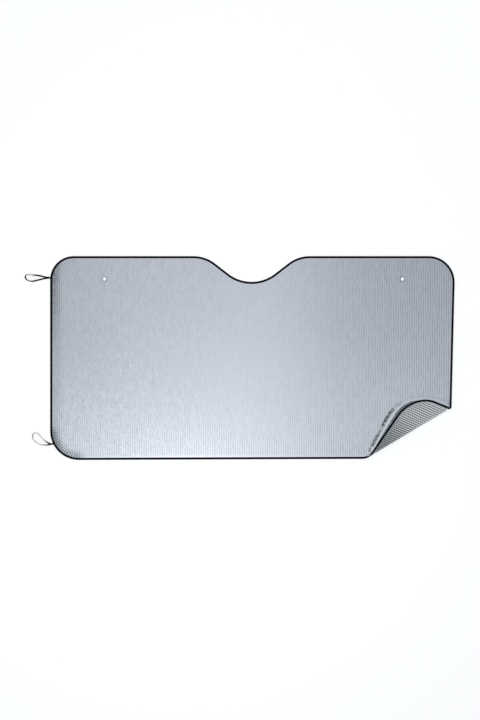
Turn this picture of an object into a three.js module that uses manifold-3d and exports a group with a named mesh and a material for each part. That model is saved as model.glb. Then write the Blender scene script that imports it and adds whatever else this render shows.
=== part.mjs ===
// A front windscreen sunshade of bubble foil, bound in black tape, with two elastic loops to hold it rolled up.
// Millimetres, +Z up. It lies on its back on Z = 0 with the mirror notch towards +Y, and its lower right
// corner is curled up and over. The origin is on the ground under the middle of the sheet.
import * as THREE from 'three';
import { mergeVertices } from 'three/addons/utils/BufferGeometryUtils.js';
import Module from 'manifold-3d';

// Outline of the bound sheet before its corner curls, over the tape
const sheetWidth = 1309; // along the top
const sheetHeight = 654; // down the right side
const rightLean = 16; // how far the right side leans in on its way down
const leftDrop = 5; // how far the lower left corner reaches below the lower right one
const topLeftRadius = 76;
const topRightRadius = 84;
const lowerRightRadius = 96;
const lowerLeftRadius = 93;

// Notch for the driving mirror, in the top edge
const notchCentreX = -3.5;
const notchDepth = 83;
const notchFlankAngle = THREE.MathUtils.degToRad(37.5); // from the top edge
const notchMouthRadius = 113;
const notchBottomRadius = 122;

// Punched holes for suction cups
const holeDiameter = 10;
const holeDrop = 74; // below the top edge
const leftHoleInset = 176; // from the left side
const rightHoleInset = 171; // from the upper right corner

// Bubble laminate: columns of bubbles run up and down the sheet, with a valley between each two. The front film
// is drawn tight and bulges over each column; on the back the bubbles stand flat-topped.
const foilThickness = 3.6; // over the bubbles
const rimThickness = 1.8; // where the tape presses the bubbles flat
const rimSlope = 6; // width of the band in which the bubbles swell to their full height
const columnPitch = 7.4;
const frontValleyDepth = 0.5;
const backValleyDepth = 0.8;
const backValleyWidth = 3;

// Tape folded over the edge
const tapeThickness = 0.6;
const tapeWing = 7; // how far it reaches over each face
const tapeFoldRound = 0.9; // chamfer that stands for the round outer fold
const clearance = 0.3; // between the pieces

// Curled corner: the sheet is rolled round a slender cone whose line of first contact crosses the corner
const curlFootInset = 294; // from the lower right corner point, where that line meets the bottom edge
const curlSideRise = 172; // from the same point, where it meets the right side
const curlFootRadius = 9.3; // of the roll at the bottom edge, to the middle of the sheet's thickness
const curlSideRadius = 5.4; // at the right side
const curlTurn = THREE.MathUtils.degToRad(146);

// Flat elastic loops, each of one band with both ends sewn on the tape
const elasticWidth = 5;
const elasticThickness = 1;
const upperLoopDrop = 70; // of its seat below the top edge
const lowerLoopRise = 47; // of its seat above the bottom edge at the right
const loopSteps = 52;

// How finely curves are cut into facets
const arcStep = THREE.MathUtils.degToRad(8);
const curlSteps = 8;
const holeSegments = 20;
const onRuling = 0.02; // a point this near a ruling counts as on it
const sameFace = 1e-3; // a point this near a face's plane counts as on it

const rimHalf = rimThickness / 2;
const foilHalf = foilThickness / 2;
const slotHalf = rimHalf + clearance;
const tapeHalf = slotHalf + tapeThickness;
const middleZ = Math.max(foilHalf, tapeHalf); // height of the middle of the sheet's thickness
const tapeTopZ = middleZ + tapeHalf;
const left = -sheetWidth / 2;
const right = sheetWidth / 2;
const top = sheetHeight / 2;
const bottom = -sheetHeight / 2;

const wasm = await Module();
wasm.setup();

// Solids between three.js geometry and the boolean library

// Facets with different face numbers stay apart, also where they lie in one plane.
function solidFrom(geometry, faceNumbers) {
  const bare = geometry.clone();
  bare.deleteAttribute('normal');
  bare.deleteAttribute('uv');
  const merged = mergeVertices(bare, 1e-4);
  return new wasm.Manifold(new wasm.Mesh({
    numProp: 3,
    vertProperties: new Float32Array(merged.attributes.position.array),
    triVerts: new Uint32Array(merged.index.array),
    faceID: faceNumbers && new Uint32Array(faceNumbers),
  }));
}

function facetsOf(solid) {
  const { numProp, vertProperties, triVerts } = solid.getMesh();
  const points = [];
  for (let i = 0; i < vertProperties.length; i += numProp) {
    points.push(new THREE.Vector3(...vertProperties.slice(i, i + 3)));
  }
  const triangles = [];
  for (let i = 0; i < triVerts.length; i += 3) triangles.push([...triVerts.slice(i, i + 3)]);
  return { points, triangles };
}

function geometryFrom({ points, triangles }) {
  const geometry = new THREE.BufferGeometry().setFromPoints(points);
  geometry.setIndex(triangles.flat());
  geometry.computeVertexNormals();
  return geometry;
}

// Outlines, anticlockwise, as lists of THREE.Vector2

// The polygon through the given corners, each rounded to its own radius, and sharp where that is 0.
function roundedOutline(corners) {
  return corners.flatMap(({ at, radius }, i) => {
    if (radius === 0) return [at];
    const back = corners.at(i - 1).at.clone().sub(at).normalize();
    const ahead = corners[(i + 1) % corners.length].at.clone().sub(at).normalize();
    const inside = Math.acos(back.dot(ahead));
    const centre = back.clone().add(ahead).normalize().multiplyScalar(radius / Math.sin(inside / 2)).add(at);
    const start = back.clone().multiplyScalar(radius / Math.tan(inside / 2)).add(at);
    const sweep = Math.sign(ahead.cross(back)) * (Math.PI - inside);
    const steps = Math.ceil(Math.abs(sweep) / arcStep);
    return Array.from({ length: steps + 1 }, (_, k) => start.clone().rotateAround(centre, (sweep * k) / steps));
  });
}

function inset(outline, distance) {
  return outline.map((p, i) => {
    const before = p.clone().sub(outline.at(i - 1)).normalize();
    const after = outline[(i + 1) % outline.length].clone().sub(p).normalize();
    const inwards = new THREE.Vector2(-before.y - after.y, before.x + after.x).normalize();
    const stretch = inwards.dot(new THREE.Vector2(-after.y, after.x));
    return p.clone().addScaledVector(inwards, distance / stretch);
  });
}

function sheetOutline() {
  const tipDrop = notchDepth + notchBottomRadius * (1 / Math.cos(notchFlankAngle) - 1);
  const halfMouth = tipDrop / Math.tan(notchFlankAngle);
  const corner = (x, y, radius) => ({ at: new THREE.Vector2(x, y), radius });
  const lowerLeft = corner(left, bottom - leftDrop, lowerLeftRadius);
  const lowerRight = corner(right - rightLean, bottom, lowerRightRadius);
  const topRight = corner(right, top, topRightRadius);
  // A point wherever a ruling meets a straight side keeps the facets of the curl short.
  const onSide = (from, to) => rulingAngles.map((angle) => corner(...meeting(from.at, to.at, angle), 0));
  return roundedOutline([
    lowerLeft,
    ...onSide(lowerLeft, lowerRight),
    lowerRight,
    ...onSide(lowerRight, topRight).reverse(),
    topRight,
    corner(notchCentreX + halfMouth, top, notchMouthRadius),
    corner(notchCentreX, top - tipDrop, notchBottomRadius),
    corner(notchCentreX - halfMouth, top, notchMouthRadius),
    corner(left, top, topLeftRadius),
  ]);
}

// A band of facets round the outline through the section's points, each an inset from the outline's edge and a
// height. A closed section gives a ring; an open one is closed by a flat face at each end.
function sweepRound(outline, section, closed) {
  const rings = section.map(([depth, z]) => inset(outline, depth).map((p) => new THREE.Vector3(p.x, p.y, z)));
  const count = outline.length;
  const triangles = [];
  for (let r = 0; r < rings.length - (closed ? 0 : 1); r += 1) {
    const s = (r + 1) % rings.length;
    for (let i = 0; i < count; i += 1) {
      const j = (i + 1) % count;
      triangles.push([r * count + i, r * count + j, s * count + j], [r * count + i, s * count + j, s * count + i]);
    }
  }
  const faceNumbers = triangles.map((_, i) => Math.floor(i / 2));
  if (!closed) {
    const last = (rings.length - 1) * count;
    const flat = (ring) => THREE.ShapeUtils.triangulateShape(ring.map((p) => new THREE.Vector2(p.x, p.y)), []);
    const first = flat(rings[0]).map(([a, b, c]) => [a, c, b]);
    const second = flat(rings.at(-1)).map(([a, b, c]) => [last + a, last + b, last + c]);
    faceNumbers.push(...first.map(() => triangles.length), ...second.map(() => triangles.length + 1));
    triangles.push(...first, ...second);
  }
  return { points: rings.flat(), triangles, faceNumbers };
}

// The curl: rulings fan out from the tip of the cone, which lies beyond the right side

const curlFoot = new THREE.Vector2(right - rightLean - curlFootInset, bottom);
const curlSide = new THREE.Vector2(right - rightLean * (1 - curlSideRise / sheetHeight), bottom + curlSideRise);
const ruling = curlFoot.clone().sub(curlSide).normalize(); // from the tip along the line of first contact
const towardsCorner = new THREE.Vector2(-ruling.y, ruling.x);
const tipBeyondSide = (curlFoot.distanceTo(curlSide) * curlSideRadius) / (curlFootRadius - curlSideRadius);
const curlTip = curlSide.clone().addScaledVector(ruling, -tipBeyondSide);
const coneHalfAngle = Math.atan(curlSideRadius / tipBeyondSide);
const curlFan = curlTurn * Math.sin(coneHalfAngle); // angle between the first ruling and the last, laid flat
const rulingAngles = Array.from({ length: curlSteps + 1 }, (_, i) => (curlFan * i) / curlSteps);

// Where the ruling at an angle meets the line through two points.
function meeting(from, to, angle) {
  const towards = ruling.clone().rotateAround(new THREE.Vector2(), angle);
  const side = to.clone().sub(from);
  const share = towards.cross(from.clone().sub(curlTip)) / side.cross(towards);
  return [from.x + side.x * share, from.y + side.y * share];
}

// Angle of a point of the flat sheet past the first ruling, seen from the cone's tip.
function fanAngle(p) {
  const x = p.x - curlTip.x;
  const y = p.y - curlTip.y;
  return Math.atan2(x * towardsCorner.x + y * towardsCorner.y, x * ruling.x + y * ruling.y);
}

// Joins the triangles of each flat convex face, so that a ruling cuts the face as a whole.
function flatFaces({ points, triangles }) {
  const key = (a, b) => a * points.length + b;
  const owners = new Map(triangles.flatMap(([a, b, c], i) => [[key(a, b), i], [key(b, c), i], [key(c, a), i]]));
  const edges = (face) => face.map((a, i) => [a, face[(i + 1) % face.length]]);
  const corners = (face) => face.map((a) => points[a]);
  const area = (face) => new THREE.Triangle(...corners(face)).getArea();
  const normal = (face) => new THREE.Triangle(...corners(face)).getNormal(new THREE.Vector3());
  const seen = new Set();
  const order = triangles.map((_, i) => i).sort((i, j) => area(triangles[j]) - area(triangles[i]));
  return order.flatMap((first) => {
    if (seen.has(first)) return [];
    seen.add(first);
    const facing = normal(triangles[first]);
    const plane = new THREE.Plane().setFromNormalAndCoplanarPoint(facing, points[triangles[first][0]]);
    const group = [first];
    for (const i of group) {
      edges(triangles[i]).map(([a, b]) => owners.get(key(b, a))).forEach((j) => {
        const level = corners(triangles[j]).every((p) => Math.abs(plane.distanceToPoint(p)) < sameFace);
        if (seen.has(j) || !level || normal(triangles[j]).dot(facing) < 0) return;
        seen.add(j);
        group.push(j);
      });
    }
    const within = new Set(group);
    const rim = group.flatMap((i) => edges(triangles[i])).filter(([a, b]) => !within.has(owners.get(key(b, a))));
    const next = new Map(rim);
    const face = [rim[0][0]];
    while (face.length <= rim.length && next.get(face.at(-1)) !== face[0]) face.push(next.get(face.at(-1)));
    const bulges = edges(face).map(([a, b], i) => {
      const c = face[(i + 2) % face.length];
      const span = points[c].clone().sub(points[a]);
      return points[b].clone().sub(points[a]).cross(span).dot(facing) / span.length();
    });
    const whole = face.length === rim.length && bulges.every((bulge) => bulge > -sameFace);
    return whole ? [face] : group.map((i) => triangles[i]);
  });
}

// The triangles of a convex face, fanned from the corner that leaves the thinnest of them widest.
function fanned(points, face) {
  const fans = face.map((_, i) => {
    const turned = [...face.slice(i), ...face.slice(0, i)];
    return turned.slice(2).map((c, k) => [turned[0], turned[k + 1], c]);
  });
  const thinnest = (fan) => Math.min(...fan.map((t) => new THREE.Triangle(...t.map((a) => points[a])).getArea()));
  return fans.sort((f, g) => thinnest(g) - thinnest(f))[0];
}

// Cuts every face that crosses the ruling at the given angle, so that the sheet can bend there.
function cutAtRuling({ points, faces }, angle) {
  const offsets = points.map((p) => {
    const offset = Math.hypot(p.x - curlTip.x, p.y - curlTip.y) * Math.sin(fanAngle(p) - angle);
    return Math.abs(offset) < onRuling ? 0 : offset;
  });
  const made = new Map();
  const crossing = (a, b) => {
    const key = `${Math.min(a, b)} ${Math.max(a, b)}`;
    if (!made.has(key)) {
      made.set(key, points.length);
      points.push(points[a].clone().lerp(points[b], offsets[a] / (offsets[a] - offsets[b])));
    }
    return made.get(key);
  };
  const pieces = faces.flatMap((face) => {
    if (!face.some((a) => offsets[a] < 0) || !face.some((a) => offsets[a] > 0)) return [face];
    const near = [];
    const far = [];
    face.forEach((a, i) => {
      const b = face[(i + 1) % face.length];
      if (offsets[a] <= 0) near.push(a);
      if (offsets[a] >= 0) far.push(a);
      if (offsets[a] * offsets[b] < 0) {
        const c = crossing(a, b);
        near.push(c);
        far.push(c);
      }
    });
    return [near, far];
  });
  return { points, faces: pieces };
}

// Moves a point of the flat sheet to its place on the curled one, with its height kept across the sheet.
function curled(p) {
  const angle = fanAngle(p);
  if (angle <= 0) return p;
  const along = new THREE.Vector3(ruling.x, ruling.y, 0);
  const across = new THREE.Vector3(towardsCorner.x, towardsCorner.y, 0);
  const up = new THREE.Vector3(0, 0, 1);
  const axis = along.clone().multiplyScalar(Math.cos(coneHalfAngle)).addScaledVector(up, Math.sin(coneHalfAngle));
  const rolled = Math.min(angle, curlFan);
  const turn = rolled / Math.sin(coneHalfAngle);
  const reach = Math.hypot(p.x - curlTip.x, p.y - curlTip.y);
  const flatPart = angle - rolled;
  return along.multiplyScalar(reach * Math.cos(flatPart))
    .addScaledVector(across, reach * Math.sin(flatPart))
    .addScaledVector(up, p.z - middleZ)
    .applyAxisAngle(axis, turn)
    .add(new THREE.Vector3(curlTip.x, curlTip.y, middleZ));
}

function curlCorner(facets) {
  let cut = { points: facets.points, faces: flatFaces(facets) };
  rulingAngles.forEach((angle) => {
    cut = cutAtRuling(cut, angle);
  });
  return {
    points: cut.points.map(curled),
    triangles: cut.faces.flatMap((face) => fanned(cut.points, face)),
  };
}

// Foil panel

// A slab with a valley between each two columns of bubbles on both faces.
function bubbleColumns() {
  const columns = Math.ceil(sheetWidth / columnPitch) + 2;
  const starts = Array.from({ length: columns }, (_, i) => (i - columns / 2) * columnPitch);
  const backZ = middleZ - foilHalf;
  const frontZ = middleZ + foilHalf;
  const valleyHalf = backValleyWidth / 2;
  const back = starts.flatMap((x) => [
    [x, backZ + backValleyDepth],
    [x + valleyHalf, backZ],
    [x + columnPitch - valleyHalf, backZ],
  ]);
  const front = starts.flatMap((x) => [[x, frontZ - frontValleyDepth], [x + columnPitch / 2, frontZ]]);
  const end = starts.at(-1) + columnPitch;
  const profile = [...back, [end, backZ + backValleyDepth], [end, frontZ - frontValleyDepth], ...front.reverse()];
  const length = 2 * sheetHeight;
  const slab = new THREE.ExtrudeGeometry(
    new THREE.Shape(profile.map(([x, z]) => new THREE.Vector2(x, z))),
    { depth: length, bevelEnabled: false },
  );
  return slab.rotateX(Math.PI / 2).translate(0, length / 2, 0);
}

// The sheet's body: a thin rim for the tape to grip, swelling to the full thickness within it.
function panelBody(outline) {
  const edge = tapeThickness + clearance;
  const grip = tapeWing + clearance;
  return sweepRound(outline, [
    [grip + rimSlope, middleZ - foilHalf],
    [grip, middleZ - rimHalf],
    [edge, middleZ - rimHalf],
    [edge, middleZ + rimHalf],
    [grip, middleZ + rimHalf],
    [grip + rimSlope, middleZ + foilHalf],
  ], false);
}

function cupHole(x) {
  const hole = new THREE.CylinderGeometry(holeDiameter / 2, holeDiameter / 2, 4 * foilThickness, holeSegments);
  return hole.rotateX(Math.PI / 2).translate(x, top - holeDrop, middleZ);
}

function foilPanel(outline) {
  const body = panelBody(outline);
  let panel = solidFrom(geometryFrom(body), body.faceNumbers).intersect(solidFrom(bubbleColumns()));
  [left + leftHoleInset, right - rightHoleInset].forEach((x) => {
    panel = panel.subtract(solidFrom(cupHole(x)));
  });
  return geometryFrom(curlCorner(facetsOf(panel)));
}

// Edge binding: a U of tape whose round fold is the outline

function edgeBinding(outline) {
  const shoulder = tapeHalf - tapeFoldRound;
  return geometryFrom(curlCorner(sweepRound(outline, [
    [0, middleZ - shoulder],
    [0, middleZ + shoulder],
    [tapeFoldRound, middleZ + tapeHalf],
    [tapeWing, middleZ + tapeHalf],
    [tapeWing, middleZ + slotHalf],
    [tapeThickness, middleZ + slotHalf],
    [tapeThickness, middleZ - slotHalf],
    [tapeWing, middleZ - slotHalf],
    [tapeWing, middleZ - tapeHalf],
    [tapeFoldRound, middleZ - tapeHalf],
  ], true)));
}

// Elastic loops

// Where the left side of the outline crosses a height.
function leftEdgeAt(outline, y) {
  const crossings = outline.flatMap((p, i) => {
    const q = outline[(i + 1) % outline.length];
    return (p.y - y) * (q.y - y) > 0 ? [] : [p.x + ((q.x - p.x) * (y - p.y)) / (q.y - p.y)];
  });
  return Math.min(...crossings);
}

// Each row is a step outwards from the tape's edge, a step up the sheet, a height and a roll in degrees: at 0
// the band lies flat, at 90 it stands on its edge. The first end lies on the tape and the last end on the first.
const firstEndZ = tapeTopZ + clearance + elasticThickness / 2;
const lastEndZ = firstEndZ + elasticThickness + clearance;

const upperLoopRoute = [
  [-tapeWing, 0, firstEndZ, 0],
  [0, 0, firstEndZ, 0],
  [7, 0, 3.3, 0],
  [14, 0.6, 2.2, 5],
  [27, 4.5, 1.6, 15],
  [45, 8, 2, 35],
  [55, 8.7, 2.5, 60],
  [64, 10.3, 2.7, 80],
  [72.5, 11, 2.8, 90],
  [79, 7.2, 2.8, 90],
  [81, 1.8, 2.7, 75],
  [78, -4, 2.7, 75],
  [71.5, -8.8, 2.8, 90],
  [63, -11, 2.7, 80],
  [55, -10.9, 2.5, 60],
  [41, -7.8, 2, 30],
  [23, -3.5, 3, 10],
  [14, -0.9, 4, 0],
  [7, 0, 4.8, 0],
  [0, 0, lastEndZ, 0],
  [-tapeWing, 0, lastEndZ, 0],
];

const lowerLoopRoute = [
  [-tapeWing, 0.5, firstEndZ, 0],
  [0, 0, firstEndZ, 0],
  [7, -0.8, 3.3, 5],
  [14, -2, 2.4, 25],
  [23, -3.2, 2.4, 55],
  [35.5, -2.8, 2.7, 80],
  [44, -0.9, 2.8, 90],
  [51, 3.4, 2.8, 90],
  [59, 8.9, 2.8, 90],
  [64, 15, 2.8, 90],
  [66.5, 22, 2.7, 80],
  [66, 28.5, 2.7, 75],
  [62.5, 34.3, 2.7, 80],
  [56, 36.8, 2.8, 90],
  [49, 34, 2.8, 90],
  [43.5, 29, 2.8, 90],
  [38, 22, 2.8, 90],
  [31.5, 14.8, 2.7, 80],
  [25, 9.5, 2.7, 60],
  [18, 5, 3.2, 30],
  [12, 1.7, 4, 10],
  [6, 0, 4.9, 0],
  [0, 0, lastEndZ, 0],
  [-tapeWing, 0.5, lastEndZ, 0],
];

// A flat band along a curve. Its width turns about the curve by the roll of the route's points.
function elasticLoop(seat, route) {
  const curve = new THREE.CatmullRomCurve3(
    route.map(([out, up, z]) => new THREE.Vector3(seat.x - out, seat.y + up, z)),
    false,
    'centripetal',
  );
  const points = [];
  for (let i = 0; i <= loopSteps; i += 1) {
    const t = curve.getUtoTmapping(i / loopSteps);
    const at = curve.getPoint(t);
    const along = curve.getTangent(t);
    const level = new THREE.Vector3(-along.y, along.x, 0).normalize();
    const k = Math.min(Math.floor(t * (route.length - 1)), route.length - 2);
    const roll = THREE.MathUtils.degToRad(
      THREE.MathUtils.lerp(route[k][3], route[k + 1][3], t * (route.length - 1) - k),
    );
    const width = level.multiplyScalar(Math.cos(roll)).add(new THREE.Vector3(0, 0, Math.sin(roll)));
    const depth = along.clone().cross(width).normalize();
    [[1, 1], [-1, 1], [-1, -1], [1, -1]].forEach(([w, d]) => {
      points.push(at.clone()
        .addScaledVector(width, (w * elasticWidth) / 2)
        .addScaledVector(depth, (d * elasticThickness) / 2));
    });
  }
  const last = points.length - 4;
  const triangles = [[0, 2, 1], [0, 3, 2], [last, last + 1, last + 2], [last, last + 2, last + 3]];
  for (let i = 0; i < loopSteps; i += 1) {
    for (let side = 0; side < 4; side += 1) {
      const a = 4 * i + side;
      const b = 4 * i + ((side + 1) % 4);
      triangles.push([a, b, b + 4], [a, b + 4, a + 4]);
    }
  }
  return geometryFrom({ points, triangles });
}

// Assembly

const foil = new THREE.MeshStandardMaterial({ color: 0xc3c8d2, roughness: 0.35, metalness: 1 });
const tape = new THREE.MeshStandardMaterial({ color: 0x17181b, roughness: 0.8, metalness: 0 });
const elastic = new THREE.MeshStandardMaterial({ color: 0x1d1d20, roughness: 0.9, metalness: 0 });

const sunshade = new THREE.Group();

function add(name, geometry, material) {
  const mesh = new THREE.Mesh(geometry, material);
  mesh.name = name;
  sunshade.add(mesh);
}

const outline = sheetOutline();
const seatAt = (y) => new THREE.Vector2(leftEdgeAt(outline, y), y);

add('foil_panel', foilPanel(outline), foil);
add('edge_binding', edgeBinding(outline), tape);
add('upper_elastic_loop', elasticLoop(seatAt(top - upperLoopDrop), upperLoopRoute), elastic);
add('lower_elastic_loop', elasticLoop(seatAt(bottom + lowerLoopRise), lowerLoopRoute), elastic);

export default sunshade;
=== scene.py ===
import math

import bpy
import numpy as np
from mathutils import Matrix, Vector


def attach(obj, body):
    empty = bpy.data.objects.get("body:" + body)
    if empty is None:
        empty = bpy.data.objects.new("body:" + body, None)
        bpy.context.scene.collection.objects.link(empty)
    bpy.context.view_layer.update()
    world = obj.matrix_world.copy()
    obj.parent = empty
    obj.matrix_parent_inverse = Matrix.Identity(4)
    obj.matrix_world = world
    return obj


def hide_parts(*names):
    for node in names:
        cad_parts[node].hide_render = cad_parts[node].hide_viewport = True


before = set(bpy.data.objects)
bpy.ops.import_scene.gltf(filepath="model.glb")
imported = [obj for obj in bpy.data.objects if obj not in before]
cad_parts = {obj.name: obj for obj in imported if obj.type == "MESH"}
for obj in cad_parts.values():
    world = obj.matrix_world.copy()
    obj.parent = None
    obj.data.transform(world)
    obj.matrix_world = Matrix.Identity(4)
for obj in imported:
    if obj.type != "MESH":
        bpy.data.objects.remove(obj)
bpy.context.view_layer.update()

MM = 0.001

# Outline of the bound sheet before its corner curls, over the tape
SHEET_WIDTH = 1309 * MM
SHEET_HEIGHT = 654 * MM
RIGHT_LEAN = 16 * MM
LEFT_DROP = 5 * MM
TOP_LEFT_RADIUS = 76 * MM
TOP_RIGHT_RADIUS = 84 * MM
LOWER_RIGHT_RADIUS = 96 * MM
LOWER_LEFT_RADIUS = 93 * MM
NOTCH_X = -3.5 * MM
NOTCH_DEPTH = 83 * MM
NOTCH_FLANK = math.radians(37.5)
NOTCH_MOUTH_RADIUS = 113 * MM
NOTCH_BOTTOM_RADIUS = 122 * MM
LEFT, RIGHT = -SHEET_WIDTH / 2, SHEET_WIDTH / 2
TOP, BOTTOM = SHEET_HEIGHT / 2, -SHEET_HEIGHT / 2

# Thicknesses
FOIL_HALF = 1.8 * MM
RIM_HALF = 0.9 * MM
TAPE_HALF = 1.8 * MM
TAPE_WING = 7 * MM
MIDDLE_Z = 1.8 * MM

# Bubbles
BUBBLE_PITCH = 8.55 * MM
COLUMN_PITCH = 7.4 * MM

# Punched holes. The films are cut farther out than the hole, and a triangle stays beyond the kept radius.
HOLE_RADIUS = 5 * MM
HOLE_CUT_RADIUS = 6 * MM
HOLE_KEPT_RADIUS = 0.97 * HOLE_CUT_RADIUS
HOLE_Y = TOP - 74 * MM
HOLES = [(LEFT + 176 * MM, HOLE_Y), (RIGHT - 171 * MM, HOLE_Y)]

# Curl: rulings fan out from the tip of a slender cone beyond the right side. The first one runs from the foot
# on the lower edge to a height up the right side.
CURL_TURN = math.radians(146)
CURL_HEIGHT = 172 * MM
CURL_FOOT = np.array([RIGHT - RIGHT_LEAN - 294 * MM, BOTTOM])
CURL_SIDE = np.array([RIGHT - RIGHT_LEAN * (1 - CURL_HEIGHT / SHEET_HEIGHT), BOTTOM + CURL_HEIGHT])
CURL_FOOT_RADIUS = 9.3 * MM
CURL_SIDE_RADIUS = 5.4 * MM

# Where the camera stands, straight above, and how wide it sees
CAMERA_X, CAMERA_Y, CAMERA_Z = -41.1 * MM, -8.6 * MM, 6.0
VIEW_WIDTH = 1551.4 * MM
SENSOR_WIDTH = 36


def unit(v):
    return v / np.linalg.norm(v)


# Camera

camera = bpy.data.objects.new("camera", bpy.data.cameras.new("camera"))
bpy.context.scene.collection.objects.link(camera)
camera.location = (CAMERA_X, CAMERA_Y, CAMERA_Z)
camera.data.sensor_fit = "HORIZONTAL"
camera.data.sensor_width = SENSOR_WIDTH
camera.data.lens = SENSOR_WIDTH * CAMERA_Z / VIEW_WIDTH
bpy.context.scene.camera = camera


# Materials

FOIL_BRIGHT = (0.84, 0.86, 0.90)
# Colour of the foil where its painted shade is full
FOIL_PAINTED_SHADE = (0.20, 0.22, 0.22)
TAPE_BLACK = (0.003, 0.003, 0.004)
ELASTIC_BLACK = (0.006, 0.006, 0.007)


def material(name):
    made = bpy.data.materials.new(name)
    made.use_nodes = True
    nodes, links = made.node_tree.nodes, made.node_tree.links
    return made, nodes, links, nodes["Principled BSDF"].inputs


# Fine bumps all over a surface, for the crinkles of foil and the weave of cloth
def add_bumps(nodes, links, surface, scale, detail, strength, height):
    place = nodes.new("ShaderNodeTexCoord")
    noise = nodes.new("ShaderNodeTexNoise")
    noise.inputs["Scale"].default_value = scale
    noise.inputs["Detail"].default_value = detail
    bump = nodes.new("ShaderNodeBump")
    bump.inputs["Strength"].default_value = strength
    bump.inputs["Distance"].default_value = height
    links.new(place.outputs["Object"], noise.inputs["Vector"])
    links.new(noise.outputs["Fac"], bump.inputs["Height"])
    links.new(bump.outputs["Normal"], surface["Normal"])


# The films carry an attribute of painted shade: 0 where the foil keeps its own bright colour, 1 where it is
# painted fully dark.
def foil_material():
    made, nodes, links, surface = material("foil")
    painted_shade = nodes.new("ShaderNodeAttribute")
    painted_shade.attribute_name = "painted_shade"
    # Mixes the foil from its own colour towards the dark colour by the painted shade
    tint = nodes.new("ShaderNodeMix")
    tint.data_type = "RGBA"
    tint.inputs["A"].default_value = (*FOIL_BRIGHT, 1)
    tint.inputs["B"].default_value = (*FOIL_PAINTED_SHADE, 1)
    links.new(painted_shade.outputs["Fac"], tint.inputs["Factor"])
    links.new(tint.outputs["Result"], surface["Base Color"])
    surface["Metallic"].default_value = 1
    surface["Roughness"].default_value = 0.13
    add_bumps(nodes, links, surface, scale=420, detail=3, strength=0.06, height=0.4 * MM)
    return made


def cloth_material(name, colour, roughness):
    made, nodes, links, surface = material(name)
    surface["Base Color"].default_value = (*colour, 1)
    surface["Roughness"].default_value = roughness
    surface["Specular IOR Level"].default_value = 0.1
    add_bumps(nodes, links, surface, scale=1500, detail=2, strength=0.3, height=0.3 * MM)
    return made


FOIL = foil_material()
TAPE = cloth_material("tape", TAPE_BLACK, 0.7)
ELASTIC = cloth_material("elastic", ELASTIC_BLACK, 0.8)


# Meshes

def vertex_normals(points, triangles):
    a, b, c = (points[triangles[:, i]] for i in range(3))
    facing = np.cross(b - a, c - a)
    total = np.zeros_like(points)
    for i in range(3):
        np.add.at(total, triangles[:, i], facing)
    length = np.linalg.norm(total, axis=1, keepdims=True)
    return total / np.maximum(length, 1e-12)


# A piece of the sunshade, with shading normals of its own and the foil's painted shade where they are given
def mesh_piece(name, points, triangles, look, replaced, normals=None, painted_shade=None):
    mesh = bpy.data.meshes.new(name)
    mesh.vertices.add(len(points))
    mesh.vertices.foreach_set("co", points.astype(np.float32).ravel())
    mesh.loops.add(triangles.size)
    mesh.loops.foreach_set("vertex_index", triangles.astype(np.int32).ravel())
    mesh.polygons.add(len(triangles))
    mesh.polygons.foreach_set("loop_start", np.arange(0, triangles.size, 3, dtype=np.int32))
    mesh.update(calc_edges=True)
    mesh.shade_smooth()
    if normals is not None:
        mesh.normals_split_custom_set_from_vertices(normals)
    # The painted shade of the foil, point by point
    if painted_shade is not None:
        attribute = mesh.attributes.new("painted_shade", "FLOAT", "POINT")
        attribute.data.foreach_set("value", painted_shade.astype(np.float32))
    mesh.materials.append(look)
    piece = bpy.data.objects.new(name, mesh)
    bpy.context.scene.collection.objects.link(piece)
    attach(piece, "root")
    if replaced:
        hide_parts(replaced)
    return piece


# Rings of the same number of points, joined in turn to a tube. Ends are capped unless the tube is closed.
def tube(rings, closed=False):
    count, sides = len(rings), len(rings[0])
    last = count if closed else count - 1
    i, s = np.meshgrid(np.arange(last), np.arange(sides), indexing="ij")
    j, t = (i + 1) % count, (s + 1) % sides
    a, b, c, d = i * sides + s, i * sides + t, j * sides + t, j * sides + s
    triangles = np.concatenate([np.stack([a, b, c], -1).reshape(-1, 3),
                                np.stack([a, c, d], -1).reshape(-1, 3)])
    if not closed:
        k = np.arange(1, sides - 1)
        end = (count - 1) * sides
        first = np.stack([0 * k, k + 1, k], -1)
        second = np.stack([end + 0 * k, end + k, end + k + 1], -1)
        triangles = np.concatenate([triangles, first, second])
    return np.asarray(rings).reshape(-1, 3), triangles


# The outline

OUTLINE_STEP, FINE_OUTLINE_STEP = 4 * MM, 2 * MM


# Points along a closed outline, anticlockwise, with every corner rounded to its own radius
def rounded(corners, step):
    outline = []
    for i, (at, radius) in enumerate(corners):
        at = np.array(at)
        back = unit(np.array(corners[i - 1][0]) - at)
        ahead = unit(np.array(corners[(i + 1) % len(corners)][0]) - at)
        inside = math.acos(back @ ahead)
        centre = at + unit(back + ahead) * radius / math.sin(inside / 2)
        start = at + back * radius / math.tan(inside / 2)
        turn = math.copysign(math.pi - inside, ahead[0] * back[1] - ahead[1] * back[0])
        steps = math.ceil(abs(turn) * radius / step)
        for k in range(steps + 1):
            angle = turn * k / steps
            x, y = start - centre
            outline.append(centre + [x * math.cos(angle) - y * math.sin(angle),
                                     x * math.sin(angle) + y * math.cos(angle)])
    return np.array(outline)


def sheet_outline(step):
    tip_drop = NOTCH_DEPTH + NOTCH_BOTTOM_RADIUS * (1 / math.cos(NOTCH_FLANK) - 1)
    half_mouth = tip_drop / math.tan(NOTCH_FLANK)
    return rounded([
        ((LEFT, BOTTOM - LEFT_DROP), LOWER_LEFT_RADIUS),
        ((RIGHT - RIGHT_LEAN, BOTTOM), LOWER_RIGHT_RADIUS),
        ((RIGHT, TOP), TOP_RIGHT_RADIUS),
        ((NOTCH_X + half_mouth, TOP), NOTCH_MOUTH_RADIUS),
        ((NOTCH_X, TOP - tip_drop), NOTCH_BOTTOM_RADIUS),
        ((NOTCH_X - half_mouth, TOP), NOTCH_MOUTH_RADIUS),
        ((LEFT, TOP), TOP_LEFT_RADIUS),
    ], step)


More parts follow.
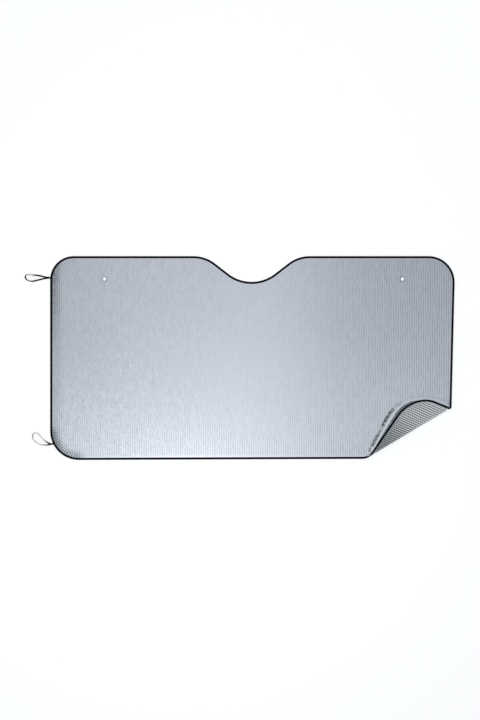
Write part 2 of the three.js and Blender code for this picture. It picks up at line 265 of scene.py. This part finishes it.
# Distance inwards from the outline's edge, negative outside it
def depth_within(outline, points):
    nearest = np.full(len(points), np.inf)
    inside = np.zeros(len(points), bool)
    x, y = points[:, 0], points[:, 1]
    for p, q in zip(outline, np.roll(outline, -1, axis=0)):
        side = q - p
        share = np.clip(((x - p[0]) * side[0] + (y - p[1]) * side[1]) / (side @ side), 0, 1)
        nearest = np.minimum(nearest, np.hypot(x - p[0] - side[0] * share, y - p[1] - side[1] * share))
        if p[1] != q[1]:
            crossed = (p[1] > y) != (q[1] > y)
            inside ^= crossed & (x < p[0] + side[0] * (y - p[1]) / side[1])
    return np.where(inside, nearest, -nearest)


# The curl

RULING = unit(CURL_FOOT - CURL_SIDE)
TOWARDS_CORNER = np.array([-RULING[1], RULING[0]])
RULING_LENGTH = np.linalg.norm(CURL_FOOT - CURL_SIDE)
TIP_BEYOND = RULING_LENGTH * CURL_SIDE_RADIUS / (CURL_FOOT_RADIUS - CURL_SIDE_RADIUS)
CURL_TIP = CURL_SIDE - RULING * TIP_BEYOND
CONE_HALF_ANGLE = math.atan(CURL_SIDE_RADIUS / TIP_BEYOND)
CURL_FAN = CURL_TURN * math.sin(CONE_HALF_ANGLE)


# From places on the flat sheet, with heights over the middle of its thickness, to places on the curled one
def curled(flat):
    flat = np.asarray(flat, float)
    away = flat[:, :2] - CURL_TIP
    angle = np.arctan2(away @ TOWARDS_CORNER, away @ RULING)
    reach = np.hypot(away[:, 0], away[:, 1])
    rolled = np.clip(angle, 0, CURL_FAN)
    turn = rolled / math.sin(CONE_HALF_ANGLE)
    rest = angle - rolled
    along = np.array([RULING[0], RULING[1], 0])
    across = np.array([TOWARDS_CORNER[0], TOWARDS_CORNER[1], 0])
    up = np.array([0, 0, 1.0])
    axis = along * math.cos(CONE_HALF_ANGLE) + up * math.sin(CONE_HALF_ANGLE)
    v = (along * (reach * np.cos(rest))[:, None] + across * (reach * np.sin(rest))[:, None]
         + up * flat[:, 2:3])
    cos, sin = np.cos(turn)[:, None], np.sin(turn)[:, None]
    v = v * cos + np.cross(axis, v) * sin + axis * (v @ axis)[:, None] * (1 - cos)
    return v + [CURL_TIP[0], CURL_TIP[1], MIDDLE_Z]


OUTLINE = sheet_outline(OUTLINE_STEP)


# Elastic loops

ELASTIC_WIDTH = 5 * MM
ELASTIC_THICKNESS = 1 * MM
LOOP_STEPS = 5
UPPER_SEAT_Y = TOP - 70 * MM
LOWER_SEAT_Y = BOTTOM + 47 * MM

# Routes, as rows of steps in mm from the seat outwards and towards the notch's edge, a
# height over the ground in mm and the band's roll in degrees. A loop's ends lie one on the other in the tape.
FIRST_END, LAST_END = 4.4, 5.7
UPPER_ROUTE = [
    (-7, 0, FIRST_END, 0), (0, 0, FIRST_END, 0), (7, 1, 3.3, 0), (14, 1.7, 2.2, 0), (27, 5, 1.6, 0),
    (45, 8.3, 1.8, 5), (55, 8.9, 2.4, 55), (64, 10.3, 2.7, 85), (72.5, 11, 2.8, 75), (79, 7.2, 2.8, 40),
    (81, 1.8, 2.7, 25), (78, -4, 2.7, 35), (71.5, -8.8, 2.8, 65), (63, -11, 2.7, 50), (55, -10.9, 2.5, 25),
    (41, -7.8, 2, 5), (23, -3.5, 3, 0), (14, -1.7, 4, 0), (7, -1, 4.8, 0), (0, 0, LAST_END, 0),
    (-7, 0, LAST_END, 0),
]
LOWER_ROUTE = [
    (-7, 0.5, FIRST_END, 0), (0, 0, FIRST_END, 0), (7, -0.8, 3.3, 5), (14, -2, 2.4, 25), (23, -3.2, 2.4, 55),
    (35.5, -2.8, 2.7, 80), (44, -0.9, 2.8, 90), (51, 3.4, 2.8, 90), (59, 8.9, 2.8, 90), (64, 15, 2.8, 90),
    (66.5, 22, 2.7, 80), (66, 28.5, 2.7, 75), (62.5, 34.3, 2.7, 80), (56, 36.8, 2.8, 90), (49, 34, 2.8, 90),
    (43.5, 29, 2.8, 90), (38, 22, 2.8, 90), (31.5, 14.8, 2.7, 80), (25, 9.5, 2.7, 60), (18, 5, 3.2, 30),
    (12, 1.7, 4, 10), (6, 0, 4.9, 0), (0, 0, LAST_END, 0), (-7, 0.5, LAST_END, 0),
]


# A smooth curve through the rows' points, centripetal Catmull-Rom, with each row's last value carried along
def through(rows, steps):
    rows = np.array(rows, float)
    ends = np.vstack([2 * rows[:1] - rows[1:2], rows, 2 * rows[-1:] - rows[-2:-1]])
    out = []
    for i in range(len(rows) - 1):
        a, b, c, d = ends[i:i + 4, :3]
        before, here, after = (max(np.linalg.norm(q - p), 1e-9) ** 0.5 for p, q in ((a, b), (b, c), (c, d)))
        leave = ((b - a) / before - (c - a) / (before + here) + (c - b) / here) * here
        reach = ((c - b) / here - (d - b) / (here + after) + (d - c) / after) * here
        for k in range(steps):
            t = k / steps
            at = (b + leave * t + (3 * (c - b) - 2 * leave - reach) * t ** 2
                  + (2 * (b - c) + leave + reach) * t ** 3)
            out.append([*at, rows[i, 3] * (1 - t) + rows[i + 1, 3] * t])
    out.append(rows[-1])
    return np.array(out)


def left_edge_at(y):
    following = np.roll(OUTLINE, -1, axis=0)
    return min(p[0] + (q[0] - p[0]) * (y - p[1]) / (q[1] - p[1])
               for p, q in zip(OUTLINE, following) if (p[1] - y) * (q[1] - y) < 0)


# Section of the band, anticlockwise, in halves of its width and thickness
QUARTER = [(1, 0), (0.94, 0.7), (0.8, 1), (0, 1)]
BAND_SECTION = (QUARTER + [(-u, v) for u, v in QUARTER[-2::-1]] + [(-u, -v) for u, v in QUARTER[1:]]
                + [(u, -v) for u, v in QUARTER[-2:0:-1]])


def elastic_loop(name, node, seat_y, route):
    seat_x = left_edge_at(seat_y)
    rows = [(seat_x - out * MM, seat_y + up * MM, z * MM, roll) for out, up, z, roll in route]
    curve = through(rows, LOOP_STEPS)
    path, rolls = curve[:, :3], np.radians(curve[:, 3])
    along = np.gradient(path, axis=0)
    along /= np.linalg.norm(along, axis=1, keepdims=True)
    w, d = ELASTIC_WIDTH / 2, ELASTIC_THICKNESS / 2
    rings = []
    for at, towards, roll in zip(path, along, rolls):
        level = unit(np.array([-towards[1], towards[0], 0]))
        width = level * math.cos(roll) + np.array([0, 0, math.sin(roll)])
        deep = unit(np.cross(towards, width))
        rings.append([at + width * (w * u) + deep * (d * v) for u, v in BAND_SECTION])
    points, triangles = tube(rings)
    piece = mesh_piece(name, points, triangles, ELASTIC, node)


elastic_loop("upper_loop", "upper_elastic_loop", UPPER_SEAT_Y, UPPER_ROUTE)
elastic_loop("lower_loop", "lower_elastic_loop", LOWER_SEAT_Y, LOWER_ROUTE)


# Foil

FILM_EDGE = 1.5 * MM
SWELL_START, SWELL_END = 7.3 * MM, 13.3 * MM
HOLE_SWELL = 5 * MM
VALLEY_REACH = BUBBLE_PITCH / math.sqrt(3)

# What is left to chance: each bubble's own number, the drift along the valleys and the speckle. The grids of
# chance are larger than the sheet.
BUBBLE_SEED, DRIFT_SEED, SPECKLE_SEED = 3, 5, 7
BUBBLE_GRID, DRIFT_GRID = (200, 100), (220, 80)


# From 0 at low to 1 at high. It falls with x where low is the larger.
def smooth_step(low, high, x):
    t = np.clip((x - low) / (high - low), 0, 1)
    return t * t * (3 - 2 * t)


def distance_from(points, place):
    return np.linalg.norm(points - place, axis=1)


def distance_from_path(points, path):
    nearest = np.full(len(points), np.inf)
    for p, q in zip(path, path[1:]):
        along = q - p
        share = np.clip((points - p) @ along / (along @ along), 0, 1)
        nearest = np.minimum(nearest, distance_from(points - p, share[:, None] * along))
    return nearest


# A lattice of triangles with a number of steps to each bubble, cut to the outline and the holes. Points next
# to a hole's cut move onto it. Gives the points, the triangles and each point's depth within the outline.
def lattice(steps):
    column, row = COLUMN_PITCH / steps, BUBBLE_PITCH / steps
    half_columns, half_rows = math.ceil(SHEET_WIDTH / 2 / column), math.ceil(SHEET_HEIGHT / 2 / row)
    spare_below, spare_above = 4, 2
    columns = np.arange(-half_columns, half_columns + 1)
    rows = np.arange(-half_rows - spare_below, half_rows + spare_above)
    c, k = np.meshgrid(columns, rows, indexing="ij")
    points = np.stack([c * column, (k + 0.5 * (c % 2)) * row], -1).reshape(-1, 2)
    n = len(rows)
    ci, ki = np.meshgrid(np.arange(len(columns) - 1), np.arange(1, n - 1), indexing="ij")
    odd = (columns[ci] % 2).astype(int)
    here, above = ci * n + ki, ci * n + ki + 1
    low, high = (ci + 1) * n + ki - 1 + odd, (ci + 1) * n + ki + odd
    triangles = np.concatenate([np.stack([here, low, high], -1).reshape(-1, 3),
                                np.stack([here, high, above], -1).reshape(-1, 3)])
    for hole in HOLES:
        away = points - hole
        distance = distance_from(points, hole)
        near = np.abs(distance - HOLE_CUT_RADIUS) < row / 2
        points[near] = hole + away[near] / distance[near, None] * HOLE_CUT_RADIUS
    depth = depth_within(OUTLINE, points)
    kept = (depth[triangles] > FILM_EDGE).all(1)
    for hole in HOLES:
        kept &= distance_from(points[triangles].mean(1), hole) > HOLE_KEPT_RADIUS
    used, triangles = np.unique(triangles[kept], return_inverse=True)
    return points[used], triangles.reshape(-1, 3), depth[used]


# Distance from the nearest bubble's middle, and a number from 0 to 1 that is that bubble's own
def from_bubble(points):
    chance = np.random.default_rng(BUBBLE_SEED).random(BUBBLE_GRID)
    nearest = np.full(len(points), np.inf)
    own = np.zeros(len(points))
    middle = np.round(points[:, 0] / COLUMN_PITCH).astype(int)
    for column in (middle - 1, middle, middle + 1):
        y = points[:, 1] - (column % 2) * BUBBLE_PITCH / 2
        row = np.round(y / BUBBLE_PITCH).astype(int)
        distance = np.hypot(points[:, 0] - column * COLUMN_PITCH, y - BUBBLE_PITCH * row)
        number = chance[column % BUBBLE_GRID[0], row % BUBBLE_GRID[1]]
        own = np.where(distance < nearest, number, own)
        nearest = np.minimum(nearest, distance)
    return nearest, own


# How far the bubbles are swollen: 0 where the films are pressed together, 1 where they are full
def swelling(points, depth):
    swell = smooth_step(SWELL_START, SWELL_END, depth)
    for hole in HOLES:
        swell *= smooth_step(HOLE_RADIUS, HOLE_RADIUS + HOLE_SWELL, distance_from(points, hole))
    return swell


# Two lines on the front film: a crease beside the curled corner, and where the corner's edge stands over it
CREASE = np.array([(380, -300), (400, -260), (415, -235), (431, -201), (452, -170), (480, -143)]) * MM
UNDER_EDGE = np.array([(387, -309), (424, -244), (463, -180), (484, -157),
                       (508, -144), (554, -138), (599, -146), (638, -160)]) * MM

# Where each of these begins and is full: distances from the left edge, the crease's line and the sheet's
# edge, and heights up the sheet
SLACK_BESIDE, SLACK_RISE = (46 * MM, 12 * MM), (-20 * MM, 200 * MM)
CREASE_BESIDE, CREASE_RISE = (7 * MM, 2 * MM), (-150 * MM, -190 * MM)
PUCKER_BESIDE, PUCKER_PITCH = (38 * MM, 7 * MM), 9.5 * MM

# The drift turns after each such length. Its grid has the sheet's middle at a column and a distance up.
DRIFT_LENGTH = 14 * MM
DRIFT_MIDDLE_COLUMN, DRIFT_BELOW_MIDDLE = 100, 500 * MM


# How slack the front film is beside the left edge: 0 where it is drawn tight over the columns, 1 where the
# bubbles stand out most, in the edge's upper half
def slackness(points):
    beside = smooth_step(*SLACK_BESIDE, points[:, 0] - LEFT)
    return beside * (0.4 + 0.6 * smooth_step(*SLACK_RISE, points[:, 1]))


# How hard the front film is creased beside the curled corner, from 0 to 1, and half as hard at the top
def creasing(points):
    beside = smooth_step(*CREASE_BESIDE, distance_from_path(points, CREASE))
    return beside * (0.5 + 0.5 * smooth_step(*CREASE_RISE, points[:, 1]))


# How much of a rounded left corner's turn a point lies in, from 0 to 1, fading over a few tenths of a radian
# at both ends, and its angle round the corner's centre, 0 where the left edge ends
def corner_share(points, radius, y, up):
    across, along = points[:, 0] - LEFT - radius, (points[:, 1] - y) * up - radius
    angle = np.arctan2(-along, -across)
    quarter = math.pi / 2
    return smooth_step(-0.3, 0.1, angle) * smooth_step(quarter + 0.35, quarter - 0.1, angle), angle


# Puckers across the edge where the tape turns the left corners, strong at the lower and faint at the upper
def puckers(points, depth):
    total = np.zeros(len(points))
    corners = [(LOWER_LEFT_RADIUS, BOTTOM - LEFT_DROP, 1, 1), (TOP_LEFT_RADIUS, TOP, -1, 0.15)]
    for radius, y, up, strength in corners:
        near, angle = corner_share(points, radius, y, up)
        total += strength * near * (0.6 - 0.4 * np.cos(angle * radius / PUCKER_PITCH * 2 * math.pi))
    return total * smooth_step(*PUCKER_BESIDE, depth)


# A number from 0 to 1 for each column's valley that drifts along it, setting how strong that valley's painted
# shade is
def unevenness(points):
    across = np.floor(points[:, 0] / COLUMN_PITCH).astype(int) + DRIFT_MIDDLE_COLUMN
    up = (points[:, 1] + DRIFT_BELOW_MIDDLE) / DRIFT_LENGTH
    knot = np.floor(up).astype(int)
    grid = np.random.default_rng(DRIFT_SEED).random(DRIFT_GRID)
    return grid[across, knot] * (1 - up + knot) + grid[across, knot + 1] * (up - knot)


# A soft patch: 1 at its middle, fading out over its reach along each axis
def patch(points, middle, reach):
    x, y = points[:, 0] - middle[0], points[:, 1] - middle[1]
    return np.exp(-(x / reach[0]) ** 2 - (y / reach[1]) ** 2)


# The front film's painted shade is plainest in the middle and most speckled at the lower left, where painted
# flecks of glint and shade lie thickest, and its columns show as painted dark lines in the right half. A
# strip beside the curl's edge is drawn tight.
PLAIN_MIDDLE, PLAIN_REACH, PLAINNESS = (7 * MM, 24 * MM), (240 * MM, 260 * MM), 0.6
SPECKLED_MIDDLE, SPECKLED_REACH = (-500 * MM, -250 * MM), (350 * MM, 250 * MM)
SPECKLE, SPECKLE_ADDED = 0.1, 0.2
LINES_RISE = (0, 300 * MM)
STRIP_BESIDE, STRIP_TIGHTNESS = (15 * MM, 8 * MM), 0.6
LEAN_REACH, LEAN = 16 * MM, 0.09

# How deep the front film lies between bubbles, between columns, in puckers and in the crease's dents, and
# how far a dent reaches from a bubble's middle, where 1 is the valley
FRONT_DOME = 0.35 * MM
SLACK_DOME = 0.7 * MM
FRONT_RIDGE = 0.2 * MM
PUCKER = 0.45 * MM
DENT = 1.2 * MM
DENT_REACH = 0.9
CREASE_SLACK, CREASE_STEEPENING = 0.2, 0.5

# How much painted shade each of these puts on the front film: lines along the column valleys, bubbles' rims,
# the left half, the slack band by the left edge, corner puckers, the crease, its dents and round each hole.
# What is called lined is added where the columns show as lines, and what is called pressed where the films
# are pressed together.
COLUMN_LINE_SHADE, COLUMN_LINE_SHADE_LINED, COLUMN_LINE_SHADE_DRIFT = 0.03, 0.19, 0.22
BUBBLE_RIM_SHADE, BUBBLE_RIM_SHADE_LINED = 0.28, -0.08
LEFT_HALF_SHADE = 0.03
SLACK_SHADE, SLACK_SHADE_PRESSED, SLACK_MIX = 0.34, 0.5, 0.9
PUCKER_SHADE, PUCKER_SHADE_PRESSED = 0.9, 0.3
CREASE_SHADE, DENT_SHADE = 0.2, 1.8
HOLE_HALO_SHADE, HOLE_BESIDE = 0.6, (11 * MM, 6 * MM)


# The front film: how far it sinks below full height, how much steeper its shading is than its shape, how
# much the shading is raised, and how much painted shade it carries. The strip beside the curl's edge leans
# away in its shading, so that it doesn't mirror the tape. In the crease about one bubble in four keeps
# its shape.
def front_side(points, depth, swell):
    distance, own = from_bubble(points)
    r = distance / VALLEY_REACH
    ridge = 0.5 - 0.5 * np.cos(2 * math.pi * points[:, 0] / COLUMN_PITCH)
    crease = creasing(points)
    slack = np.maximum(slackness(points), CREASE_SLACK * crease)
    middle = np.clip(1 - (r / DENT_REACH) ** 2, 0, 1) ** 2
    dent = crease * middle * np.clip(3 * own - 0.7, 0, 1)
    gather = puckers(points, depth)
    from_edge = distance_from_path(points, UNDER_EDGE)
    tight = 1 - STRIP_TIGHTNESS * smooth_step(*STRIP_BESIDE, from_edge)
    sunk = tight * ((FRONT_DOME + SLACK_DOME * slack) * r ** 2 + FRONT_RIDGE * ridge) + PUCKER * gather
    sunk += DENT * dent
    steepening = 1 + slack + CREASE_STEEPENING * crease
    raised = LEAN * np.maximum(LEAN_REACH - from_edge, 0)

    # Painted shade: dark lines along column valleys, darker bubble rims and random flecks of painted glint
    relief = tight - PLAINNESS * patch(points, PLAIN_MIDDLE, PLAIN_REACH)
    speckle = SPECKLE + SPECKLE_ADDED * patch(points, SPECKLED_MIDDLE, SPECKLED_REACH)
    speckle = speckle * (np.random.default_rng(SPECKLE_SEED).random(len(points)) - 0.5)
    lined = smooth_step(*LINES_RISE, points[:, 0])
    pressed = 1 - smooth_step(SWELL_START, SWELL_END, depth)
    painted_column_lines = ridge * (COLUMN_LINE_SHADE + COLUMN_LINE_SHADE_LINED * lined + COLUMN_LINE_SHADE_DRIFT * unevenness(points))
    painted_shade = swell * relief * (painted_column_lines + (BUBBLE_RIM_SHADE + BUBBLE_RIM_SHADE_LINED * lined) * r ** 2 + speckle)
    mixed = 1 + SLACK_MIX * middle * (own - 0.5)
    # Painted shade over the left half and in the slack band by the left edge, varied bubble by bubble
    painted_shade += LEFT_HALF_SHADE * (1 - lined) + (SLACK_SHADE + SLACK_SHADE_PRESSED * pressed) * slack * mixed
    # Painted shade in the corner puckers, along the crease and in its dents
    painted_shade += ((PUCKER_SHADE + PUCKER_SHADE_PRESSED * pressed) * gather
               + CREASE_SHADE * crease + DENT_SHADE * dent)
    # A painted dark halo round each punched hole
    for hole in HOLES:
        painted_shade += HOLE_HALO_SHADE * smooth_step(*HOLE_BESIDE, distance_from(points, hole))
    return sunk, steepening, raised, painted_shade


BACK_DOME = 0.4 * MM
BACK_VALLEY = 0.7 * MM
BACK_STEEPENING = 1.7
FOOT_BESIDE = (240 * MM, 60 * MM)


# The same four for the back film, with painted shade along its grooves and bubbles' rims, and more painted
# shade near the foot of the curl
def back_side(points, swell):
    r = from_bubble(points)[0] / VALLEY_REACH
    off = np.abs(points[:, 0] / COLUMN_PITCH - np.round(points[:, 0] / COLUMN_PITCH)) * 2
    sunk = BACK_DOME * smooth_step(0.5, 1.0, r) + BACK_VALLEY * smooth_step(0.4, 1.0, off)
    near_foot = smooth_step(*FOOT_BESIDE, distance_from(points, CURL_FOOT))
    groove = smooth_step(0.2, 0.9 - 0.2 * near_foot, off)
    # Painted shade along the grooves, on the bubbles' rims and near the curl's foot
    painted_shade = swell * ((1 + 0.3 * near_foot) * groove + 0.1 * r ** 2) + 0.4 * near_foot
    return sunk, BACK_STEEPENING, 0, painted_shade


# One bubbled film: side 1 is the front, -1 the back. It is cut into strips that stay light enough to handle.
def film(side, steps, names):
    points, triangles, depth = lattice(steps)
    swell = swelling(points, depth)
    if side > 0:
        sunk, steepening, raised, painted_shade = front_side(points, depth, swell)
    else:
        sunk, steepening, raised, painted_shade = back_side(points, swell)
        triangles = triangles[:, ::-1]
    full = RIM_HALF + swell * (FOIL_HALF - RIM_HALF)
    placed = curled(np.column_stack([points, side * (full - swell * sunk)]))
    shaded = full - steepening * swell * sunk + raised
    normals = vertex_normals(curled(np.column_stack([points, side * shaded])), triangles)
    strip = np.floor((points[triangles].mean(1)[:, 0] - LEFT) / SHEET_WIDTH * len(names))
    pieces = []
    for i, name in enumerate(names):
        used, renumbered = np.unique(triangles[strip == i], return_inverse=True)
        pieces.append(mesh_piece(name, placed[used], renumbered.reshape(-1, 3), FOIL, "foil_panel",
                                 normals[used], painted_shade[used]))
    return pieces


FRONT_STEPS, BACK_STEPS, CORE_STEPS = 3, 4, 1

front = film(1, FRONT_STEPS, ["front_film_left", "front_film_right"])
back = film(-1, BACK_STEPS, ["back_film_left", "back_film_middle", "back_film_right"])

# The flat film between the two bubbled ones
core_points, core_triangles, core_depth = lattice(CORE_STEPS)
core_places = curled(np.column_stack([core_points, 0 * core_depth]))
core = mesh_piece("core_film", core_places, core_triangles, FOIL, "foil_panel")


# Edge of each punched hole, a flat ring that closes the films
HOLE_SIDES = 48
LIP_WIDTH = 2 * MM
LIP_HALF = RIM_HALF + 0.03 * MM


def hole_edge(name, hole):
    section = [(0, -LIP_HALF), (0, LIP_HALF), (LIP_WIDTH, LIP_HALF), (LIP_WIDTH, -LIP_HALF)]
    rings = []
    for a in np.linspace(0, 2 * math.pi, HOLE_SIDES, endpoint=False):
        rings.append([[hole[0] + (HOLE_RADIUS + out) * math.cos(a),
                       hole[1] + (HOLE_RADIUS + out) * math.sin(a), z] for out, z in section])
    points, triangles = tube(rings, closed=True)
    return mesh_piece(name, curled(points), triangles[:, ::-1], FOIL, "foil_panel")


hole_edges = [hole_edge(f"hole_edge_{name}", hole) for name, hole in zip(("left", "right"), HOLES)]


# Binding

def evenly(outline, step):
    closed = np.vstack([outline, outline[:1]])
    lengths = np.concatenate([[0], np.cumsum(np.linalg.norm(np.diff(closed, axis=0), axis=1))])
    count = round(lengths[-1] / step)
    at = np.linspace(0, lengths[-1], count, endpoint=False)
    return np.column_stack([np.interp(at, lengths, closed[:, i]) for i in range(2)])


def inwards(points):
    along = np.roll(points, -1, axis=0) - np.roll(points, 1, axis=0)
    along /= np.linalg.norm(along, axis=1, keepdims=True)
    return np.column_stack([-along[:, 1], along[:, 0]])


BINDING_STEP = 3.5 * MM
FOLD_ANGLES = np.radians(np.linspace(0, 90, 6))
SEAM_DEPTH = 5.3 * MM


# The tape's section is rows of a depth inwards from the sheet's edge and a height over the sheet's middle.
def binding():
    points = evenly(sheet_outline(FINE_OUTLINE_STEP), BINDING_STEP)
    inside = inwards(points)
    fold = [(TAPE_HALF * (1 - math.cos(a)), TAPE_HALF * math.sin(a)) for a in FOLD_ANGLES]
    wing = [(3.2 * MM, 1.8 * MM), (4.6 * MM, 1.72 * MM), (SEAM_DEPTH, 1.6 * MM), (6.0 * MM, 1.72 * MM),
            (6.6 * MM, 1.76 * MM), (TAPE_WING, 1.6 * MM)]
    lining = [(TAPE_WING, 1.15 * MM), (SEAM_DEPTH, 1.05 * MM), (1.8 * MM, 1.2 * MM), (0.9 * MM, 0.8 * MM)]
    half = fold[1:] + wing + lining
    section = [(0, 0)] + half + [(0.6 * MM, 0)] + [(d, -z) for d, z in reversed(half)]
    rings = [[[p[0] + n[0] * d, p[1] + n[1] * d, z] for d, z in section] for p, n in zip(points, inside)]
    flat, triangles = tube(rings, closed=True)
    return mesh_piece("tape", curled(flat), triangles[:, ::-1], TAPE, "edge_binding")


tape = binding()


# Sewing

STITCH_LENGTH = 3.0 * MM
STITCH_GAP = 1.1 * MM
STITCH_TOP = 1.62 * MM
STITCH_DIP = 0.28 * MM
THREAD = 0.28 * MM
THREAD_FLATNESS = 0.6
THREAD_ANGLES = np.radians(np.arange(0, 360, 72))


# One short curved stitch after another, a little above the tape on one face, with both ends dipping into it
def stitches(name, side):
    points = evenly(sheet_outline(FINE_OUTLINE_STEP), STITCH_LENGTH + STITCH_GAP)
    all_points, all_triangles = [], []
    for p, n in zip(points, inwards(points)):
        along = np.array([n[1], -n[0]])
        middle = p + n * SEAM_DEPTH
        rings = []
        for share in (-0.5, -0.35, 0, 0.35, 0.5):
            at = middle + along * STITCH_LENGTH * share
            z = STITCH_TOP - STITCH_DIP * (2 * share) ** 4
            width = THREAD * (0.5 if abs(share) == 0.5 else 1)
            rings.append([[*(at + n * width * math.cos(a)),
                           side * (z + width * math.sin(a) * THREAD_FLATNESS)] for a in THREAD_ANGLES])
        flat, triangles = tube(rings)
        all_triangles.append(triangles + len(flat) * len(all_points))
        all_points.append(flat)
    flat, triangles = np.concatenate(all_points), np.concatenate(all_triangles)
    return mesh_piece(name, curled(flat), triangles[:, ::-side], TAPE, None)


seams = [stitches("front_stitches", 1), stitches("back_stitches", -1)]


# Ground and light

GROUND_HALF = 40
GROUND_Z = -0.3 * MM
GLOW_HALF = 3
GLOW_Z = 1.0
GLOW_TINT = (0.93, 0.96, 1.0)

# Rows of a glow's middle, its reach along X and Y, and its strength
GLOWS = [
    ((-0.24, -0.52), (0.57, 0.36), 0.84),
    ((-0.40, 0.10), (0.75, 1.1), 0.26),
    ((0.67, -0.16), (0.46, 0.34), 0.16),
    ((0.05, 0.30), (0.36, 0.5), 0.14),
]
# Radius of a glow's gradient for a reach of 1, larger because it fades out early
GLOW_RADIUS = 2.2

# From the horizon up to straight overhead
SKY = [
    (0.0, (1.0, 1.0, 1.0)),
    (0.15, (0.95, 0.95, 0.95)),
    (0.30, (0.62, 0.66, 0.68)),
    (0.60, (0.13, 0.145, 0.145)),
    (0.82, (0.15, 0.165, 0.165)),
    (0.95, (0.45, 0.475, 0.51)),
    (1.0, (0.45, 0.475, 0.52)),
]


def level_square(name, half, z, look):
    mesh = bpy.data.meshes.new(name)
    corners = [(-half, -half, z), (half, -half, z), (half, half, z), (-half, half, z)]
    mesh.from_pydata(corners, [], [(0, 1, 2, 3)])
    mesh.materials.append(look)
    square = bpy.data.objects.new(name, mesh)
    bpy.context.scene.collection.objects.link(square)
    return square


def area_lamp(name, at, towards, size, power):
    lamp = bpy.data.lights.new(name, "AREA")
    lamp.shape = "RECTANGLE"
    lamp.size, lamp.size_y = size
    lamp.energy = power
    holder = bpy.data.objects.new(name, lamp)
    bpy.context.scene.collection.objects.link(holder)
    holder.location = at
    holder.visible_camera = False
    facing = Vector(towards) - Vector(at)
    holder.rotation_euler = facing.to_track_quat("-Z", "Y").to_euler()


# The glows added up, on a square that lets all other light through
def glow_material():
    made, nodes, links, _ = material("overhead_glow")
    nodes.remove(nodes["Principled BSDF"])
    place = nodes.new("ShaderNodeTexCoord")
    total = None
    for centre, reach, strength in GLOWS:
        mapping = nodes.new("ShaderNodeMapping")
        mapping.vector_type = "TEXTURE"
        mapping.inputs["Location"].default_value = (*centre, GLOW_Z)
        mapping.inputs["Scale"].default_value = (GLOW_RADIUS * reach[0], GLOW_RADIUS * reach[1], 1)
        ball = nodes.new("ShaderNodeTexGradient")
        ball.gradient_type = "QUADRATIC_SPHERE"
        amount = nodes.new("ShaderNodeMath")
        amount.operation = "MULTIPLY_ADD"
        amount.inputs[1].default_value = strength
        amount.inputs[2].default_value = 0
        links.new(place.outputs["Object"], mapping.inputs["Vector"])
        links.new(mapping.outputs["Vector"], ball.inputs["Vector"])
        links.new(ball.outputs["Fac"], amount.inputs[0])
        if total:
            links.new(total.outputs["Value"], amount.inputs[2])
        total = amount
    light = nodes.new("ShaderNodeEmission")
    light.inputs["Color"].default_value = (*GLOW_TINT, 1)
    links.new(total.outputs["Value"], light.inputs["Strength"])
    clear = nodes.new("ShaderNodeBsdfTransparent")
    both = nodes.new("ShaderNodeAddShader")
    links.new(light.outputs["Emission"], both.inputs[0])
    links.new(clear.outputs["BSDF"], both.inputs[1])
    links.new(both.outputs["Shader"], nodes["Material Output"].inputs["Surface"])
    return made


# Pale ground that is lit a little by itself, so that it is white without more light on the shade
def ground_material():
    made, _, _, surface = material("ground")
    surface["Base Color"].default_value = (0.9, 0.9, 0.9, 1)
    surface["Roughness"].default_value = 1
    surface["Specular IOR Level"].default_value = 0
    surface["Emission Color"].default_value = (1, 1, 1, 1)
    surface["Emission Strength"].default_value = 0.60
    return made


# A world whose light changes with the height above the horizon only
def sky_world():
    world = bpy.data.worlds.new("world")
    world.use_nodes = True
    nodes, links = world.node_tree.nodes, world.node_tree.links
    direction = nodes.new("ShaderNodeTexCoord")
    parts = nodes.new("ShaderNodeSeparateXYZ")
    sky = nodes.new("ShaderNodeValToRGB")
    links.new(direction.outputs["Generated"], parts.inputs["Vector"])
    links.new(parts.outputs["Z"], sky.inputs["Fac"])
    links.new(sky.outputs["Color"], nodes["Background"].inputs["Color"])
    for at, _ in SKY[1:-1]:
        sky.color_ramp.elements.new(at)
    for stop, (at, colour) in zip(sky.color_ramp.elements, SKY):
        stop.position = at
        stop.color = (*colour, 1)
    return world


# One soft lamp from beyond the notch, besides the glow, the ground and the world
area_lamp("soft_back", at=(0.6, 2.0, 2.2), towards=(0, 0, 0), size=(2.0, 0.6), power=4)

glow = level_square("overhead_glow", GLOW_HALF, GLOW_Z, glow_material())
glow.visible_camera = False
glow.visible_shadow = False

ground = level_square("ground", GROUND_HALF, GROUND_Z, ground_material())

bpy.context.scene.world = sky_world()
bpy.context.scene.view_settings.view_transform = "Standard"
